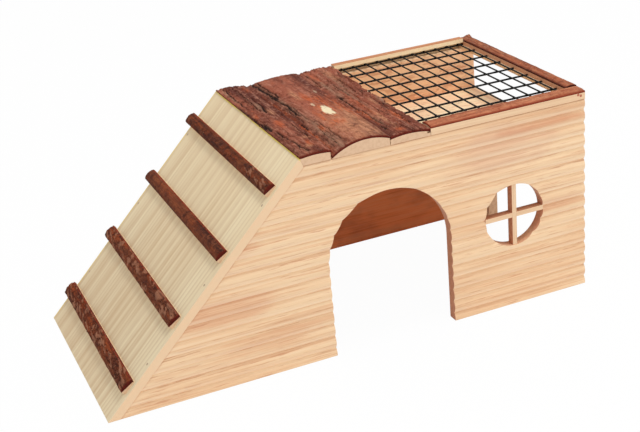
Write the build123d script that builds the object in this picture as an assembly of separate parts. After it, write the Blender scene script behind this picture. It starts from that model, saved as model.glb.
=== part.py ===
from build123d import *
from math import ceil, cos, radians, sin, tan
import os

# Wooden small-pet house: two rippled side panels, a ramp with bark rungs, a roof of
# half-round bark slabs, and a framed wire mesh over a hay loft.
# While it is modelled, X runs from the ramp's toe to the end wall, Y from the front
# face to the back and Z up from the ground. Millimetres.

# side panels
panel_length = 367.0
panel_height = 145.0
house_depth = 166.0
board_thickness = 8.0
ripple_pitch = 9.36
ripple_first = 5.8
ripple_depth = 1.8

# doorway and round window in the front panel
door_width = 93.0
door_height = 114.0
door_from_toe = 164.5
window_radius = 23.5
window_height = 70.6
window_bar_width = 3.5
window_bar_depth = 6.0
window_bar_setback = 0.5

# end wall
end_wall_height = 112.0
end_wall_stand = 2.0
end_door_width = 88.0
end_door_height = 90.0

# ramp
ramp_slope = 45.0
ramp_thickness = 6.0
ramp_stand = 5.5
ramp_toe_cut = 0.3
ramp_end_tilt = 20.0

# rungs, from the lowest to the highest; heights above the ramp from the down-slope side up
rung_first = 26.4
rung_spacing = 52.9
rung_widths = [10.6, 10.0, 9.4, 9.2]
rung_overhangs = [3.0, 4.2, 5.0, 5.4]
rung_front_inset = 4.0
rung_wood_heights = (2.9, 0.7)
rung_bark_heights = (3.6, 4.6, 2.3)
rung_crown = 0.3

# roof slabs: heights of their wood above the panels at the left, the crown and the right,
# at the slab's front end and at its back end
slab_1_width = 19.6
slab_2_width = 41.6
slab_3_width = 29.6
slab_gap_1 = 1.3
slab_gap_2 = 0.6
slab_1_front = (5.1, 5.8, 5.0)
slab_1_back = (5.1, 5.3, 3.6)
slab_2_front = (0.4, 8.1, 4.9)
slab_2_back = (2.6, 5.6, 5.0)
slab_3_front = (3.6, 5.0, 3.0)
slab_3_back = (3.8, 5.1, 4.8)
slab_1_crown = 0.50
slab_2_crown = 0.57
slab_3_crown = 0.48
slab_bark = 1.8

# wire mesh
wire_diameter = 1.2
wire_gap = 0.02
mesh_pitch_x = 10.3
mesh_pitch_y = 19.6
mesh_first_x = 6.4
mesh_first_y = 4.2
mesh_seat = 2.4
mesh_tail_x = 4.2
mesh_tail_y = 1.2

# battens that frame the mesh; heights of their tops above the panels at the front or inner
# side, the crown and the other side
lath_width = 10.6
lath_thickness = 2.0
batten_lip = 2.2
front_batten_width = 12.3
front_batten_heights = (6.1, 6.9, 6.3)
front_batten_crown = 0.45
back_batten_width = 6.2
back_batten_height = 7.6
end_batten_width = 9.1
end_batten_heights = (6.6, 7.3, 6.7)
end_batten_crown = 0.6
end_batten_overhang = 1.2
batten_bark = 1.3

# hay loft under the mesh
loft_floor_thickness = 3.0
loft_floor_drop = 0.8
loft_reach = 10.0
loft_wall_thickness = 5.0
loft_strip_width = 4.4
loft_rail = 6.0
loft_rail_setback = 8.0

# nails and clearances
nail_diameter = 1.2
nail_head_diameter = 1.9
nail_head_thickness = 0.6
nail_length = 18.0
nail_clearance = 0.02
ramp_nail_places = [46.0, 110.0, 174.0]
slab_2_nail_places = (0.36, 0.76)
slab_2_nail_drops = (1.4, 0.4)
slab_nail_depth = 0.4
batten_nails = [(3.5, 2.9), (5.6, 3.8)]
joint_gap = 0.1
piece_gap = 0.3

# places worked out from the sizes
slope = radians(ramp_slope)
ramp_rise = panel_height + ramp_stand
ramp_reach = ramp_thickness / sin(slope)
end_wall_x = panel_length - board_thickness
window_centre_x = (door_from_toe + door_width + end_wall_x) / 2
ramp_end_x = ramp_rise / tan(slope)
roof_start = ramp_end_x + ramp_stand * tan(radians(ramp_end_tilt)) + joint_gap
slab_2_x = roof_start + slab_1_width + slab_gap_1
slab_3_x = slab_2_x + slab_2_width + slab_gap_2
roof_end = slab_3_x + slab_3_width
mesh_z = panel_height + lath_thickness
long_wire_z = mesh_z + wire_diameter / 2
cross_wire_z = long_wire_z + wire_diameter + wire_gap
batten_seat_z = mesh_z + wire_diameter + joint_gap
back_batten_seat_z = cross_wire_z + wire_diameter / 2 + joint_gap
batten_start = roof_end + piece_gap
end_batten_x = panel_length + end_batten_overhang - end_batten_width
mesh_start_x = roof_end + mesh_first_x
mesh_count_x = int((panel_length - lath_width - mesh_start_x) / mesh_pitch_x) + 1
mesh_count_y = int((house_depth - 2 * batten_lip - mesh_first_y) / mesh_pitch_y) + 1
mesh_last_x = mesh_start_x + (mesh_count_x - 1) * mesh_pitch_x
mesh_last_y = mesh_first_y + (mesh_count_y - 1) * mesh_pitch_y
loft_x = roof_end - loft_reach
loft_floor_z = end_wall_height - loft_floor_drop


def shape_xz(points):
    return make_face(Polyline([(x, 0, z) for x, z in points], close=True))


def along_y(face, start, end):
    return Pos(0, start, 0) * extrude(face, amount=end - start, dir=(0, 1, 0))


def block(x, y, z):
    return Pos(x[0], y[0], z[0]) * Box(x[1] - x[0], y[1] - y[0], z[1] - z[0], align=(Align.MIN,) * 3)


def rippled_board(length, height):
    # Board along X that stands on the ground: ripples at Y = 0, plain face at the back.
    count = ceil((height - ripple_first) / ripple_pitch) + 1
    valleys = [ripple_first + (k - 1) * ripple_pitch for k in range(count + 1)]
    scallops = [
        ThreePointArc((0, ripple_depth, low), (0, 0, (low + high) / 2), (0, ripple_depth, high))
        for low, high in zip(valleys, valleys[1:])
    ]
    foot, top = valleys[0], valleys[-1]
    back = [(0, ripple_depth, top), (0, board_thickness, top), (0, board_thickness, foot), (0, ripple_depth, foot)]
    board = extrude(make_face(Curve(scallops) + Polyline(back)), amount=length, dir=(1, 0, 0))
    return board & block((0, length), (0, board_thickness), (0, height))


def arch(width, height, thickness):
    # Doorway tool, centred on X = 0, from the ground up along +Y.
    radius = width / 2
    sides = block((-radius, radius), (0, thickness), (-1, height - radius))
    top = Pos(0, thickness / 2, height - radius) * Rot(90, 0, 0) * Cylinder(radius, thickness)
    return sides + top


def panel_blank():
    board = rippled_board(panel_length, panel_height)
    above_ramp = [(-1, -1), (ramp_reach - 1 / tan(slope), -1)]
    above_ramp += [(ramp_reach + (panel_height + 1) / tan(slope), panel_height + 1), (-1, panel_height + 1)]
    return board - along_y(shape_xz(above_ramp), -1, board_thickness + 1)


def on_ramp(shape, distance):
    # Places a shape drawn on the XY plane at a distance up the ramp's outer face.
    place = Pos(distance * cos(slope), 0, distance * sin(slope))
    return place * Rot(0, -ramp_slope, 0) * shape


def nail(radius_extra=0.0):
    # A nail that points down from its head's top at the origin.
    down = (Align.CENTER, Align.CENTER, Align.MAX)
    shank = Cylinder(nail_diameter / 2 + radius_extra, nail_length, align=down)
    head = Cylinder(nail_head_diameter / 2 + radius_extra, nail_head_thickness, align=down)
    return shank + head


def ramp_nails(extra=0.0):
    sides = [board_thickness / 2, house_depth - board_thickness / 2]
    return [on_ramp(Pos(0, y, 0) * nail(extra), distance) for distance in ramp_nail_places for y in sides]


def slab_nails(extra=0.0):
    # Set a little below the bark, where it hides their heads: one row at the front, one at the back.
    nails = []
    rows = [
        (board_thickness / 2, slab_1_front[1], slab_2_front[1] - slab_2_nail_drops[0], slab_3_front[1]),
        (house_depth - board_thickness / 2, slab_1_back[1], slab_2_back[1] - slab_2_nail_drops[1], slab_3_back[1]),
    ]
    for y, first, second, third in rows:
        spots = [(roof_start + slab_1_width * slab_1_crown, first)]
        spots += [(slab_2_x + slab_2_width * share, second) for share in slab_2_nail_places]
        spots += [(slab_3_x + slab_3_width * slab_3_crown, third)]
        below = panel_height + slab_bark - slab_nail_depth
        nails += [Pos(x, y, below + height) * nail(extra) for x, height in spots]
    return nails


def front_nails(extra=0.0):
    turn = Rot(90, 0, 0)
    places = [Pos(panel_length - back, 0, panel_height + up) for back, up in batten_nails]
    return [place * turn * nail(extra) for place in places]


def drill(shape, tools):
    for tool in tools:
        shape = shape - tool
    return shape


def front_panel():
    panel = panel_blank()
    door = arch(door_width, door_height, board_thickness + 2)
    panel -= Pos(door_from_toe + door_width / 2, -1, 0) * door
    hole = Rot(90, 0, 0) * Cylinder(window_radius, 2 * board_thickness + 2)
    panel -= Pos(window_centre_x, board_thickness / 2, window_height) * hole
    return drill(panel, ramp_nails(nail_clearance) + slab_nails(nail_clearance))


def back_panel():
    panel = mirror(panel_blank(), about=Plane.XZ.offset(-house_depth / 2))
    return drill(panel, ramp_nails(nail_clearance) + slab_nails(nail_clearance))


def end_wall():
    y = (board_thickness, house_depth - board_thickness)
    wall = block((end_wall_x, panel_length), y, (end_wall_stand, end_wall_height))
    door = Pos(panel_length + 1, house_depth / 2, 0) * Rot(0, 0, 90)
    return wall - door * arch(end_door_width, end_door_height, board_thickness + 2)


def ramp_board():
    board = on_ramp(block((-panel_length / 2, panel_length), (0, house_depth), (-ramp_thickness, 0)), 0)
    tilt = tan(radians(ramp_end_tilt))
    top = ramp_rise + ramp_thickness
    kept = [(ramp_toe_cut, 0), (ramp_end_x + ramp_rise * tilt, 0), (ramp_end_x - ramp_thickness * tilt, top)]
    kept += [(ramp_toe_cut, top)]
    board = board & along_y(shape_xz(kept), -1, house_depth + 1)
    return drill(board, ramp_nails(nail_clearance))


def rung(index):
    # Split stick: a wedge of wood on the ramp, and the bark that grows on it.
    start, end = rung_front_inset, house_depth + rung_overhangs[index]
    half = rung_widths[index] / 2
    low, high = rung_wood_heights
    low_bark, crown_bark, high_bark = rung_bark_heights
    wood = along_y(shape_xz([(-half, 0), (-half, low), (half, high), (half, 0)]), start, end)
    crown_x = half * (2 * rung_crown - 1)
    top = ThreePointArc((-half, 0, low_bark), (crown_x, 0, crown_bark), (half, 0, high_bark))
    rest = Polyline((half, 0, high_bark), (half, 0, high), (-half, 0, low), (-half, 0, low_bark))
    bark = along_y(make_face(top + rest), start, end)
    distance = rung_first + index * rung_spacing
    return on_ramp(wood, distance), on_ramp(bark, distance)


def slab_faces(x, y, width, heights, crown):
    # Sections of a slab's wood and of its bark at one end.
    left, middle, right = [panel_height + height for height in heights]
    crown_x = x + width * crown
    wood_top = ThreePointArc((x, y, left), (crown_x, y, middle), (x + width, y, right))
    base = Polyline((x + width, y, right), (x + width, y, panel_height), (x, y, panel_height), (x, y, left))
    bark_top = ThreePointArc(
        (x, y, left + slab_bark), (crown_x, y, middle + slab_bark), (x + width, y, right + slab_bark)
    )
    left_edge = Line((x, y, left), (x, y, left + slab_bark))
    right_edge = Line((x + width, y, right), (x + width, y, right + slab_bark))
    return make_face(wood_top + base), make_face(wood_top + left_edge + bark_top + right_edge)


def slab(x, width, front, back, crown):
    # Sawn half-round slab: its wood, and the bark that grows on its curved side.
    front_wood, front_bark = slab_faces(x, 0, width, front, crown)
    back_wood, back_bark = slab_faces(x, house_depth, width, back, crown)
    wood = loft([front_wood, back_wood], ruled=True)
    bark = loft([front_bark, back_bark], ruled=True)
    holes = slab_nails(nail_clearance)
    return drill(wood, holes), drill(bark, holes)


def slab_1():
    # Its left edge leans back along the ramp's sawn top end.
    lean = tan(radians(ramp_end_tilt))
    corner = slab_1_front[0]
    wood, bark = slab(roof_start, slab_1_width, slab_1_front, slab_1_back, slab_1_crown)
    wood_lean = [
        (roof_start, panel_height),
        (roof_start, panel_height + corner),
        (roof_start - corner * lean, panel_height + corner),
    ]
    bark_rise = corner + slab_bark
    bark_lean = [
        (roof_start, panel_height + corner),
        (roof_start, panel_height + bark_rise),
        (roof_start - bark_rise * lean, panel_height + bark_rise),
        (roof_start - corner * lean, panel_height + corner),
    ]
    wood += along_y(shape_xz(wood_lean), 0, house_depth)
    bark += along_y(shape_xz(bark_lean), 0, house_depth)
    return wood, bark


def slab_3():
    wood, bark = slab(slab_3_x, slab_3_width, slab_3_front, slab_3_back, slab_3_crown)
    seat = block((roof_end - mesh_seat, roof_end + 1), (-1, house_depth + 1), (mesh_z, batten_seat_z))
    return wood - seat, bark - seat


def wire_places_x():
    return [mesh_start_x + i * mesh_pitch_x for i in range(mesh_count_x)]


def wire_places_y():
    return [mesh_first_y + j * mesh_pitch_y for j in range(mesh_count_y)]


def long_wires():
    start = roof_end - mesh_seat + joint_gap
    length = mesh_last_x + mesh_tail_x - start
    wire = Rot(0, 90, 0) * Cylinder(wire_diameter / 2, length, align=(Align.CENTER, Align.CENTER, Align.MIN))
    return [Pos(start, y, long_wire_z) * wire for y in wire_places_y()]


def cross_wires():
    start = mesh_first_y - mesh_tail_y
    length = mesh_last_y + mesh_tail_y - start
    wire = Rot(-90, 0, 0) * Cylinder(wire_diameter / 2, length, align=(Align.CENTER, Align.CENTER, Align.MIN))
    return [Pos(x, start, cross_wire_z) * wire for x in wire_places_x()]


def wire_grooves():
    half = wire_diameter / 2 + joint_gap
    return [
        block((x - half, x + half), (batten_lip, house_depth - batten_lip), (mesh_z, cross_wire_z + half))
        for x in wire_places_x()
    ]


def batten_top(width, heights, crown, lower=0.0):
    # Top of a batten's section, drawn in the YZ plane from Y = 0.
    front, middle, back = [panel_height + height - lower for height in heights]
    return ThreePointArc((0, 0, front), (0, width * crown, middle), (0, width, back))


def front_batten_face(lower=0.0):
    # The batten stands on its front lip; behind the lip it lies over the mesh.
    top = batten_top(front_batten_width, front_batten_heights, front_batten_crown, lower)
    points = [(front_batten_width, batten_seat_z), (batten_lip, batten_seat_z)]
    points += [(batten_lip, panel_height), (0, panel_height)]
    rest = Polyline([top @ 1] + [(0, y, z) for y, z in points] + [top @ 0])
    return make_face(top + rest)


def front_batten():
    length = panel_length - batten_start
    whole = Pos(batten_start, 0, 0) * extrude(front_batten_face(), amount=length, dir=(1, 0, 0))
    core = Pos(batten_start, 0, 0) * extrude(front_batten_face(batten_bark), amount=length, dir=(1, 0, 0))
    tools = wire_grooves() + front_nails(nail_clearance)
    return drill(core, tools), drill(whole - core, tools)


def back_batten():
    back = house_depth - back_batten_width
    lip = house_depth - batten_lip - joint_gap
    x = (batten_start, end_batten_x - joint_gap)
    top = panel_height + back_batten_height
    batten = block(x, (back, house_depth), (back_batten_seat_z, top))
    batten += block(x, (lip, house_depth), (panel_height, back_batten_seat_z))
    return batten


def end_lath():
    y = (batten_lip + joint_gap, house_depth - batten_lip - 2 * joint_gap)
    return block((panel_length - lath_width, panel_length), y, (panel_height, mesh_z))


def end_batten_face(lower=0.0):
    top = batten_top(end_batten_width, end_batten_heights, end_batten_crown, lower)
    rest = Polyline([top @ 1, (0, end_batten_width, mesh_z), (0, 0, mesh_z), top @ 0])
    return make_face(top + rest)


def end_batten():
    # Lies on the lath from the back edge up to the front batten.
    length = house_depth - front_batten_width - joint_gap
    place = Pos(end_batten_x, house_depth, 0) * Rot(0, 0, -90)
    whole = place * extrude(end_batten_face(), amount=length, dir=(1, 0, 0))
    core = place * extrude(end_batten_face(batten_bark), amount=length, dir=(1, 0, 0))
    tools = front_nails(nail_clearance)
    return drill(core, tools), drill(whole - core, tools)


def window_bars():
    # Upright and level bar, half-lapped where they cross, a little behind the ripples' crests.
    front, back = window_bar_setback, window_bar_setback + window_bar_depth
    lap = (front + back) / 2
    half = window_bar_width / 2
    reach = window_radius
    well = Pos(0, lap, 0) * Rot(90, 0, 0) * Cylinder(window_radius - joint_gap / 2, 2 * board_thickness)
    upright = block((-half, half), (front, back), (-reach, reach)) & well
    level = block((-reach, reach), (front, back), (-half, half)) & well
    side = half + joint_gap / 2
    upright -= block((-side, side), (lap, back + 1), (-side, side))
    level -= block((-side, side), (front - 1, lap + joint_gap / 2), (-side, side))
    place = Pos(window_centre_x, 0, window_height)
    return place * upright, place * level


def loft_floor():
    y = (board_thickness, house_depth - board_thickness)
    x = (loft_x, end_wall_x - loft_strip_width)
    return block(x, y, (loft_floor_z - loft_floor_thickness, loft_floor_z))


def loft_strip():
    y = (board_thickness, house_depth - board_thickness)
    z = (loft_floor_z - loft_floor_thickness, end_wall_height)
    return block((end_wall_x - loft_strip_width, end_wall_x), y, z)


def loft_wall():
    y = (board_thickness, house_depth - board_thickness)
    return block((loft_x, loft_x + loft_wall_thickness), y, (loft_floor_z, panel_height))


def loft_rails():
    top = loft_floor_z - loft_floor_thickness
    x = (loft_x + loft_rail_setback, end_wall_x)
    front = block(x, (board_thickness, board_thickness + loft_rail), (top - loft_rail, top))
    far = house_depth - board_thickness
    back = block(x, (far - loft_rail, far), (top - loft_rail, top))
    return front, back


def build_nodes():
    nodes = {
        "front_panel": front_panel(),
        "back_panel": back_panel(),
        "end_wall": end_wall(),
        "ramp_board": ramp_board(),
    }
    for index in range(len(rung_widths)):
        name = f"ramp_rung_{index + 1}"
        nodes[name], nodes[name + "_bark"] = rung(index)
    nodes["roof_slab_1"], nodes["roof_slab_1_bark"] = slab_1()
    second = slab(slab_2_x, slab_2_width, slab_2_front, slab_2_back, slab_2_crown)
    nodes["roof_slab_2"], nodes["roof_slab_2_bark"] = second
    nodes["roof_slab_3"], nodes["roof_slab_3_bark"] = slab_3()
    nodes["front_batten"], nodes["front_batten_bark"] = front_batten()
    nodes["back_batten"] = back_batten()
    nodes["end_batten"], nodes["end_batten_bark"] = end_batten()
    nodes["end_lath"] = end_lath()
    nodes["mesh_long_wires"] = long_wires()
    nodes["mesh_cross_wires"] = cross_wires()
    nodes["window_bar_upright"], nodes["window_bar_level"] = window_bars()
    nodes["loft_floor"] = loft_floor()
    nodes["loft_strip"] = loft_strip()
    nodes["loft_wall"] = loft_wall()
    nodes["loft_rail_front"], nodes["loft_rail_back"] = loft_rails()
    nodes["ramp_nails"] = ramp_nails()
    nodes["slab_nails"] = slab_nails()
    nodes["batten_nails"] = front_nails()
    return nodes


def solids_of(shape):
    parts = shape if isinstance(shape, list) else [shape]
    return [solid for part in parts for solid in part.solids()]


def main():
    os.makedirs("parts", exist_ok=True)
    nodes = {name: Compound(children=solids_of(shape)) for name, shape in build_nodes().items()}
    corners = [node.bounding_box() for node in nodes.values()]
    middle_x = (min(c.min.X for c in corners) + max(c.max.X for c in corners)) / 2
    middle_y = (min(c.min.Y for c in corners) + max(c.max.Y for c in corners)) / 2
    # The part's origin is the middle of its footprint, on the ground.
    to_origin = Pos(-middle_x, -middle_y, 0)
    for name, node in nodes.items():
        export_step(to_origin * node, f"parts/{name}.step")
    print("origin in modelling coordinates", round(middle_x, 3), round(middle_y, 3))


main()
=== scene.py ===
import math

import bmesh
import bpy
from mathutils import Matrix, Vector, noise


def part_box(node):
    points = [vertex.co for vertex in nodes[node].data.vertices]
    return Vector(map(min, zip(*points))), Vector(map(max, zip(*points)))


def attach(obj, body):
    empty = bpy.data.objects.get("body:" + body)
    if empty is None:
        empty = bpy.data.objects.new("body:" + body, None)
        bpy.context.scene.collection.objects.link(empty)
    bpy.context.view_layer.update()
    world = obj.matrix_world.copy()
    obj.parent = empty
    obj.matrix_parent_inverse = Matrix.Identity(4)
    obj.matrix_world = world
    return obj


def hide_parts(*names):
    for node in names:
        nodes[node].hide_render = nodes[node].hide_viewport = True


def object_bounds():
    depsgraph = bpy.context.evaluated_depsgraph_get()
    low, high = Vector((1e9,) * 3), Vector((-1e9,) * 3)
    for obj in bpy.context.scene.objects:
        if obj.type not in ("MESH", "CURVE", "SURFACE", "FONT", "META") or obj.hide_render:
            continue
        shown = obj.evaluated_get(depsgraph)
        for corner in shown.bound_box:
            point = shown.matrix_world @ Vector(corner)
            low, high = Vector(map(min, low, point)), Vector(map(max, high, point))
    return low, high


mm = 0.001
print("loading the frame")
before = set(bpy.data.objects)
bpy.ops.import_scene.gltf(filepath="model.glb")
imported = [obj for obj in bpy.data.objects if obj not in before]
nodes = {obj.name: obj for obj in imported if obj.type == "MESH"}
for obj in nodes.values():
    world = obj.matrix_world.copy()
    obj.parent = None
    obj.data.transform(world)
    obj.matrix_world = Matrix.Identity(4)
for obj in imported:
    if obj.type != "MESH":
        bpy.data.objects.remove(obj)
cadLow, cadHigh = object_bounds()


# camera: its place in metres, its angles in degrees, its lens and sensor in millimetres

camera = {
    "place": (-0.29771, -0.79939, 0.44880),
    "turn": 21.03,
    "down": 24.06,
    "roll": -5.36,
    "lens": 71.5,
    "sensor": 36.0,
    "near": 0.01,
}


def makeCamera(s):
    data = bpy.data.cameras.new("camera")
    data.lens = s["lens"]
    data.sensor_width = s["sensor"]
    data.clip_start = s["near"]
    turned = Matrix.Rotation(math.radians(-s["turn"]), 4, "Z")
    tilted = Matrix.Rotation(math.radians(90 - s["down"]), 4, "X")
    rolled = Matrix.Rotation(math.radians(s["roll"]), 4, "Z")
    obj = bpy.data.objects.new("camera", data)
    obj.matrix_world = Matrix.Translation(s["place"]) @ turned @ tilted @ rolled
    bpy.context.scene.collection.objects.link(obj)
    bpy.context.scene.camera = obj


# light and floor, in metres and watts

light = {
    "world": 0.72,
    "topSize": 0.3,
    "topPower": 5.0,
    "topPlace": (0.24, -0.20, 1.15),
    "frontSize": 1.2,
    "frontPower": 4.0,
    "frontPlace": (0.30, -1.40, 0.30),
    "target": (0, 0, 0.08),
}


def lamp(name, size, power, place, target):
    data = bpy.data.lights.new(name, "AREA")
    data.shape = "SQUARE"
    data.size = size
    data.energy = power
    obj = bpy.data.objects.new(name, data)
    away = Vector(place) - Vector(target)
    obj.matrix_world = Matrix.Translation(place) @ away.to_track_quat("Z", "Y").to_matrix().to_4x4()
    bpy.context.scene.collection.objects.link(obj)


def meshObject(name, bm, material):
    mesh = bpy.data.meshes.new(name)
    bm.to_mesh(mesh)
    bm.free()
    mesh.materials.append(material)
    obj = bpy.data.objects.new(name, mesh)
    bpy.context.scene.collection.objects.link(obj)
    return obj


def seenDirectly(tree):
    # 1 for camera, glossy and transmission rays
    path = tree.nodes.new("ShaderNodeLightPath")
    both = tree.nodes.new("ShaderNodeMath")
    both.operation = "MAXIMUM"
    every = tree.nodes.new("ShaderNodeMath")
    every.operation = "MAXIMUM"
    tree.links.new(path.outputs["Is Camera Ray"], both.inputs[0])
    tree.links.new(path.outputs["Is Glossy Ray"], both.inputs[1])
    tree.links.new(both.outputs[0], every.inputs[0])
    tree.links.new(path.outputs["Is Transmission Ray"], every.inputs[1])
    return every.outputs[0]


def makeWorld(s):
    world = bpy.data.worlds.new("studio")
    bpy.context.scene.world = world
    world.use_nodes = True
    tree = world.node_tree
    tree.nodes.clear()
    out = tree.nodes.new("ShaderNodeOutputWorld")
    mix = tree.nodes.new("ShaderNodeMixShader")
    dim = tree.nodes.new("ShaderNodeBackground")
    dim.inputs["Strength"].default_value = s["world"]
    white = tree.nodes.new("ShaderNodeBackground")
    tree.links.new(seenDirectly(tree), mix.inputs[0])
    tree.links.new(dim.outputs[0], mix.inputs[1])
    tree.links.new(white.outputs[0], mix.inputs[2])
    tree.links.new(mix.outputs[0], out.inputs[0])
    for node in (dim, white):
        node.inputs["Color"].default_value = (1, 1, 1, 1)
    lamp("topLamp", s["topSize"], s["topPower"], s["topPlace"], s["target"])
    lamp("frontLamp", s["frontSize"], s["frontPower"], s["frontPlace"], s["target"])


floor = {"size": 8.0, "drop": 0.0002, "shade": 0.03, "paint": (0.86, 0.86, 0.86, 1), "glow": 1.0}


def makeFloor(s):
    bm = bmesh.new()
    bmesh.ops.create_grid(bm, x_segments=1, y_segments=1, size=s["size"] / 2)
    bmesh.ops.translate(bm, verts=bm.verts, vec=(0, 0, -s["drop"]))
    mat = bpy.data.materials.new("floorWhite")
    mat.use_nodes = True
    tree = mat.node_tree
    tree.nodes.clear()
    out = tree.nodes.new("ShaderNodeOutputMaterial")
    # rays from the camera see a white floor with a trace of the shadows
    matt = tree.nodes.new("ShaderNodeBsdfDiffuse")
    matt.inputs["Color"].default_value = s["paint"]
    glow = tree.nodes.new("ShaderNodeEmission")
    glow.inputs["Strength"].default_value = s["glow"]
    seen = tree.nodes.new("ShaderNodeMixShader")
    seen.inputs[0].default_value = s["shade"]
    mix = tree.nodes.new("ShaderNodeMixShader")
    tree.links.new(glow.outputs[0], seen.inputs[1])
    tree.links.new(matt.outputs[0], seen.inputs[2])
    tree.links.new(seenDirectly(tree), mix.inputs[0])
    tree.links.new(matt.outputs[0], mix.inputs[1])
    tree.links.new(seen.outputs[0], mix.inputs[2])
    tree.links.new(mix.outputs[0], out.inputs[0])
    meshObject("floor", bm, mat)


# materials: small helpers that join nodes


def shade(r, g, b):
    # from screen values of 0 to 255
    def flat(c):
        c = c / 255
        return c / 12.92 if c <= 0.04045 else ((c + 0.055) / 1.055) ** 2.4

    return (flat(r), flat(g), flat(b), 1.0)


class Finish:
    # one material, with methods that add a node and return its output

    def __init__(self, name, specular, roughness=0.6):
        self.mat = bpy.data.materials.new(name)
        self.mat.use_nodes = True
        self.tree = self.mat.node_tree
        self.tree.nodes.clear()
        out = self.tree.nodes.new("ShaderNodeOutputMaterial")
        self.shader = self.tree.nodes.new("ShaderNodeBsdfPrincipled")
        self.shader.inputs["Roughness"].default_value = roughness
        self.shader.inputs["Specular IOR Level"].default_value = specular
        self.tree.links.new(self.shader.outputs[0], out.inputs[0])
        self.where = self.tree.nodes.new("ShaderNodeTexCoord")
        self.place = self.where.outputs["Object"]

    def join(self, value, socket):
        if isinstance(value, bpy.types.NodeSocket):
            self.tree.links.new(value, socket)
        else:
            socket.default_value = value

    def math(self, kind, a, b=0.0, c=0.0):
        node = self.tree.nodes.new("ShaderNodeMath")
        node.operation = kind
        for value, socket in zip((a, b, c), node.inputs):
            self.join(value, socket)
        return node.outputs[0]

    def times(self, a, b):
        return self.math("MULTIPLY", a, b)

    def vector(self, kind, a, b=(0, 0, 0)):
        node = self.tree.nodes.new("ShaderNodeVectorMath")
        node.operation = kind
        self.join(a, node.inputs[0])
        self.join(b, node.inputs[1])
        return node.outputs["Value"] if kind in ("DOT_PRODUCT", "LENGTH") else node.outputs[0]

    def mapped(self, source, scale=(1, 1, 1), turn=(0, 0, 0), shift=(0, 0, 0)):
        node = self.tree.nodes.new("ShaderNodeMapping")
        self.join(source, node.inputs["Vector"])
        node.inputs["Location"].default_value = shift
        node.inputs["Rotation"].default_value = [math.radians(a) for a in turn]
        node.inputs["Scale"].default_value = scale
        return node.outputs[0]

    def split(self, source):
        node = self.tree.nodes.new("ShaderNodeSeparateXYZ")
        self.join(source, node.inputs[0])
        return node.outputs

    def noise(self, source, scale=1.0, detail=3.0, rough=0.6, warp=0.0):
        node = self.tree.nodes.new("ShaderNodeTexNoise")
        self.join(source, node.inputs["Vector"])
        node.inputs["Scale"].default_value = scale
        node.inputs["Detail"].default_value = detail
        node.inputs["Roughness"].default_value = rough
        node.inputs["Distortion"].default_value = warp
        return node.outputs["Fac"]

    def grain(self, source, scale, detail=3.0, rough=0.6, warp=0.0, shift=(0, 0, 0)):
        # noise with a scale of its own along each axis
        return self.noise(self.mapped(source, scale, shift=shift), 1.0, detail, rough, warp)

    def looking(self, way):
        # 1 where a face looks along a direction, 0 where it looks across it
        return self.vector("DOT_PRODUCT", self.where.outputs["Normal"], way)

    def spread(self, value, low, high, toLow=0.0, toHigh=1.0):
        # smooth step from toLow at low to toHigh at high
        node = self.tree.nodes.new("ShaderNodeMapRange")
        node.interpolation_type = "SMOOTHSTEP"
        self.join(value, node.inputs["Value"])
        node.inputs["From Min"].default_value = low
        node.inputs["From Max"].default_value = high
        node.inputs["To Min"].default_value = toLow
        node.inputs["To Max"].default_value = toHigh
        return node.outputs[0]

    def ramp(self, value, stops):
        node = self.tree.nodes.new("ShaderNodeValToRGB")
        self.join(value, node.inputs[0])
        band = node.color_ramp
        while len(band.elements) < len(stops):
            band.elements.new(0.5)
        for element, (at, colour) in zip(band.elements, stops):
            element.position = at
            element.color = colour
        return node.outputs[0]

    def mix(self, amount, a, b):
        node = self.tree.nodes.new("ShaderNodeMix")
        node.data_type = "RGBA"
        self.join(amount, node.inputs[0])
        self.join(a, node.inputs[6])
        self.join(b, node.inputs[7])
        return node.outputs[2]

    def attribute(self, name):
        node = self.tree.nodes.new("ShaderNodeAttribute")
        node.attribute_name = name
        return node.outputs["Fac"]

    def bump(self, height, strength, distance):
        node = self.tree.nodes.new("ShaderNodeBump")
        node.inputs["Strength"].default_value = strength
        node.inputs["Distance"].default_value = distance
        self.join(height, node.inputs["Height"])
        self.tree.links.new(node.outputs[0], self.shader.inputs["Normal"])

    def colour(self, value):
        self.join(value, self.shader.inputs["Base Color"])

    def roughness(self, value):
        self.join(value, self.shader.inputs["Roughness"])


# pine: its grain runs along X of turned coordinates; scales are along and across the grain

pineNoise = {
    "fibre": {"scale": (24, 600, 1300)},
    "vein": {"scale": (9, 300, 620), "detail": 4.0, "rough": 0.70, "warp": 0.1, "shift": (5, 1, 4)},
    "cloud": {"scale": (7, 24, 24), "rough": 0.5, "shift": (1, 5, 0)},
    "fleck": {"scale": (30, 420, 800), "rough": 0.7, "shift": (0, 2, 7)},
}

# where each tone starts and is full, in shares of a ring or in values of its noise
pineLimits = {
    "darkening": (0.35, 0.93),
    "ending": (1.0, 0.95),
    "strength": 0.24,  # how much more noise than calm brings out a whole ring
    "cloud": (0.35, 0.65),
    "vein": (0.52, 0.62),
    "gap": (0.46, 0.36),  # between veins
    "fibre": (0.48, 0.80),
    "fleck": (0.57, 0.66),
    "end": (0.55, 0.9),
    "pores": (0.35, 0.75),
}


def area(f, spot):
    # 1 inside a soft oval in millimetres, 0 outside it
    centre, radii = spot
    apart = f.vector("SUBTRACT", f.place, [v * mm for v in centre])
    away = f.vector("LENGTH", f.vector("DIVIDE", apart, [v * mm for v in radii]))
    rough = f.grain(f.place, (30, 60, 60))
    return f.spread(f.math("MULTIPLY_ADD", rough, 0.9, away), 1.45, 0.95)


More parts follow.
